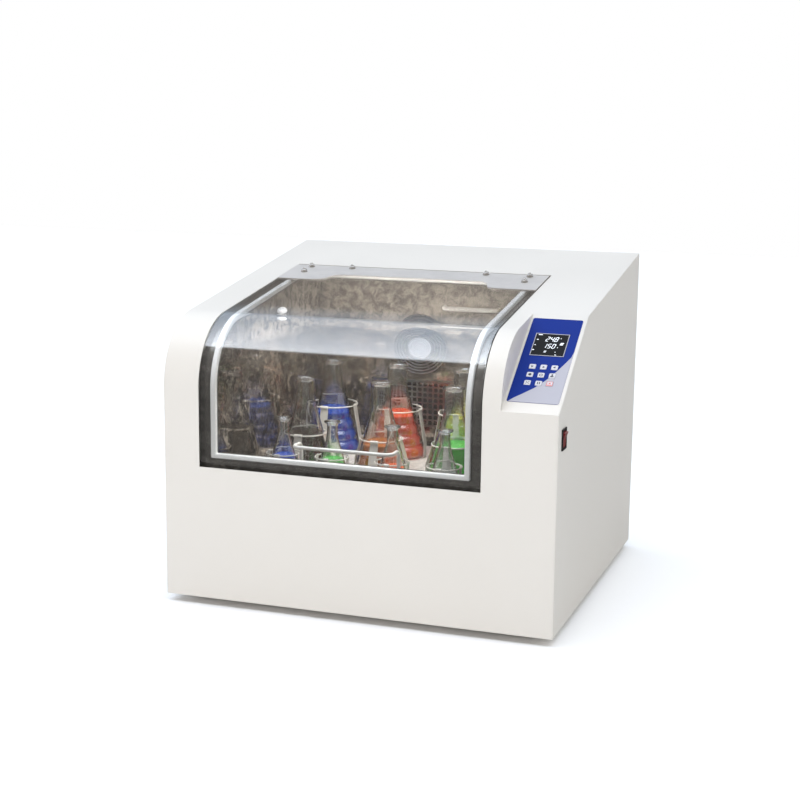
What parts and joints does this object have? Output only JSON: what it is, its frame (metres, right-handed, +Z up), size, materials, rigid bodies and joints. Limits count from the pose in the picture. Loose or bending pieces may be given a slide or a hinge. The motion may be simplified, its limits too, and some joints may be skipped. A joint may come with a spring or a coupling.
{
  "type": "shaking incubator",
  "caption": "Benchtop shaking incubator: insulated steel casing with a curved clear lid, a flask tray on an orbital drive, a rear fan and a sloping key panel.",
  "frame": {"origin": "centre of the casing's footprint, on the plane that the four feet stand on", "axes": "+X to the right of a user who faces the lid, +Y to the back, +Z up"},
  "size_m": [0.625, 0.573, 0.522],
  "materials": {
    "casing_paint": "satin",
    "foot_rubber": "matte",
    "belt_rubber": "matte",
    "fastener_steel": "satin",
    "liner_steel": "polished",
    "rim_steel": "polished",
    "gasket_rubber": "matte",
    "insulation_foam": "matte",
    "grille_steel": "satin",
    "guard_wire": "polished",
    "fan_plastic": "satin",
    "motor_paint": "satin",
    "heater_steel": "bright",
    "lamp_plastic": "gloss",
    "overlay_film": "satin",
    "screen_glass": "gloss",
    "key_plastic": "satin",
    "board_laminate": "satin",
    "supply_case": "satin",
    "switch_plastic": "satin",
    "rocker_plastic": "gloss",
    "inlet_plastic": "satin",
    "base_steel": "satin",
    "housing_iron": "satin",
    "shaft_steel": "ground",
    "pulley_metal": "turned",
    "weight_iron": "satin",
    "carrier_metal": "satin",
    "tray_steel": "speckled",
    "handle_steel": "polished",
    "clamp_steel": "bright",
    "flask_glass": "clear",
    "coloured_water": "clear",
    "lid_sheet": "clear",
    "plate_steel": "satin",
    "hinge_steel": "satin"
  },
  "bodies": {
    "cabinet": {"front_top_cover": "casing_paint", "left_side_panel": "casing_paint", "right_side_panel": "casing_paint", "rear_panel": "casing_paint", "base_pan": "casing_paint", "rubber_feet": "foot_rubber", "panel_screws": "fastener_steel", "chamber_liner": "liner_steel", "chamber_rim": "rim_steel", "rim_gasket": "gasket_rubber", "insulation_panels": "insulation_foam", "return_air_grille": "grille_steel", "fan_guard": "guard_wire", "fan_motor": "motor_paint", "heater_tube": "heater_steel", "temperature_probe": "heater_steel", "chamber_lamp": "lamp_plastic", "control_overlay": "overlay_film", "display_screen": "screen_glass", "control_board": "board_laminate", "power_supply": "supply_case", "switch_housing": "switch_plastic", "power_inlet": "inlet_plastic", "drive_base": "base_steel", "main_bearing_housing": "housing_iron", "idler_bearing_housings": "housing_iron", "shaker_motor": "motor_paint", "drive_belt": "belt_rubber", "hinge_fixed_leaf": "hinge_steel", "hinge_pin": "hinge_steel"},
    "fan": {"fan_impeller": "fan_plastic"},
    "motor_rotor": {"motor_pulley": "pulley_metal"},
    "drive": {"drive_shaft": "shaft_steel", "drive_pulley": "pulley_metal", "drive_counterweight": "weight_iron"},
    "platform": {"platform_carrier": "carrier_metal", "shaker_tray": "tray_steel", "tray_screws": "fastener_steel", "tray_handle": "handle_steel", "small_flask_clamps": "clamp_steel", "large_flask_clamps": "clamp_steel", "flasks": "flask_glass", "flask_liquids": "coloured_water"},
    "idler_1": {"idler_crank_1": "shaft_steel"},
    "idler_2": {"idler_crank_2": "shaft_steel"},
    "idler_3": {"idler_crank_3": "shaft_steel"},
    "lid": {"lid_shell": "lid_sheet", "lid_rear_plate": "plate_steel", "lid_fasteners": "fastener_steel", "hinge_lid_leaf": "hinge_steel"},
    "rocker": {"switch_rocker": "rocker_plastic"},
    "key_1_1": {"key_1_1": "key_plastic"},
    "key_1_2": {"key_1_2": "key_plastic"},
    "key_1_3": {"key_1_3": "key_plastic"},
    "key_2_1": {"key_2_1": "key_plastic"},
    "key_2_2": {"key_2_2": "key_plastic"},
    "key_2_3": {"key_2_3": "key_plastic"},
    "key_3_1": {"key_3_1": "key_plastic"},
    "key_3_2": {"key_3_2": "key_plastic"},
    "key_3_3": {"key_3_3": "key_plastic"}
  },
  "joints": [
    {"name": "lid_hinge", "type": "hinge", "parent": "cabinet", "child": "lid", "pos_m": [-0.027, 0.1072, 0.4908], "axis": [-1, 0, 0], "range_deg": [0, 80]},
    {"name": "drive_turn", "type": "hinge", "parent": "cabinet", "child": "drive", "pos_m": [-0.027, -0.057, 0.112], "axis": [0, 0, 1], "continuous": true},
    {"name": "platform_turn", "type": "hinge", "parent": "drive", "child": "platform", "pos_m": [-0.037, -0.057, 0.172], "axis": [0, 0, 1], "continuous": true},
    {"name": "idler_turn_1", "type": "hinge", "parent": "cabinet", "child": "idler_1", "pos_m": [-0.147, -0.157, 0.112], "axis": [0, 0, 1], "continuous": true},
    {"name": "idler_turn_2", "type": "hinge", "parent": "cabinet", "child": "idler_2", "pos_m": [0.093, -0.157, 0.112], "axis": [0, 0, 1], "continuous": true},
    {"name": "idler_turn_3", "type": "hinge", "parent": "cabinet", "child": "idler_3", "pos_m": [-0.027, 0.058, 0.112], "axis": [0, 0, 1], "continuous": true},
    {"name": "motor_turn", "type": "hinge", "parent": "cabinet", "child": "motor_rotor", "pos_m": [0.251, 0.025, 0.052], "axis": [0, 0, 1], "continuous": true},
    {"name": "fan_spin", "type": "hinge", "parent": "cabinet", "child": "fan", "pos_m": [-0.038, 0.155, 0.362], "axis": [0, 1, 0], "continuous": true},
    {"name": "key_press_1_1", "type": "slide", "parent": "cabinet", "child": "key_1_1", "axis": [0, 0.5664, -0.8241], "range_m": [0, 0.0005], "stiffness_N_per_m": 1500, "springref_m": -0.0003},
    {"name": "key_press_1_2", "type": "slide", "parent": "cabinet", "child": "key_1_2", "axis": [0, 0.5664, -0.8241], "range_m": [0, 0.0005], "stiffness_N_per_m": 1500, "springref_m": -0.0003},
    {"name": "key_press_1_3", "type": "slide", "parent": "cabinet", "child": "key_1_3", "axis": [0, 0.5664, -0.8241], "range_m": [0, 0.0005], "stiffness_N_per_m": 1500, "springref_m": -0.0003},
    {"name": "key_press_2_1", "type": "slide", "parent": "cabinet", "child": "key_2_1", "axis": [0, 0.5664, -0.8241], "range_m": [0, 0.0005], "stiffness_N_per_m": 1500, "springref_m": -0.0003},
    {"name": "key_press_2_2", "type": "slide", "parent": "cabinet", "child": "key_2_2", "axis": [0, 0.5664, -0.8241], "range_m": [0, 0.0005], "stiffness_N_per_m": 1500, "springref_m": -0.0003},
    {"name": "key_press_2_3", "type": "slide", "parent": "cabinet", "child": "key_2_3", "axis": [0, 0.5664, -0.8241], "range_m": [0, 0.0005], "stiffness_N_per_m": 1500, "springref_m": -0.0003},
    {"name": "key_press_3_1", "type": "slide", "parent": "cabinet", "child": "key_3_1", "axis": [0, 0.5664, -0.8241], "range_m": [0, 0.0005], "stiffness_N_per_m": 1500, "springref_m": -0.0003},
    {"name": "key_press_3_2", "type": "slide", "parent": "cabinet", "child": "key_3_2", "axis": [0, 0.5664, -0.8241], "range_m": [0, 0.0005], "stiffness_N_per_m": 1500, "springref_m": -0.0003},
    {"name": "key_press_3_3", "type": "slide", "parent": "cabinet", "child": "key_3_3", "axis": [0, 0.5664, -0.8241], "range_m": [0, 0.0005], "stiffness_N_per_m": 1500, "springref_m": -0.0003},
    {"name": "rocker_tilt", "type": "hinge", "parent": "cabinet", "child": "rocker", "pos_m": [0.307, -0.2535, 0.3025], "axis": [0, -1, 0], "range_deg": [0, 20]}
  ],
  "couplings": [
    {"joint": "drive_turn", "follows": "platform_turn", "ratio": -1},
    {"joint": "idler_turn_1", "follows": "platform_turn", "ratio": -1},
    {"joint": "idler_turn_2", "follows": "platform_turn", "ratio": -1},
    {"joint": "idler_turn_3", "follows": "platform_turn", "ratio": -1},
    {"joint": "motor_turn", "follows": "platform_turn", "ratio": -3.3333}
  ]
}
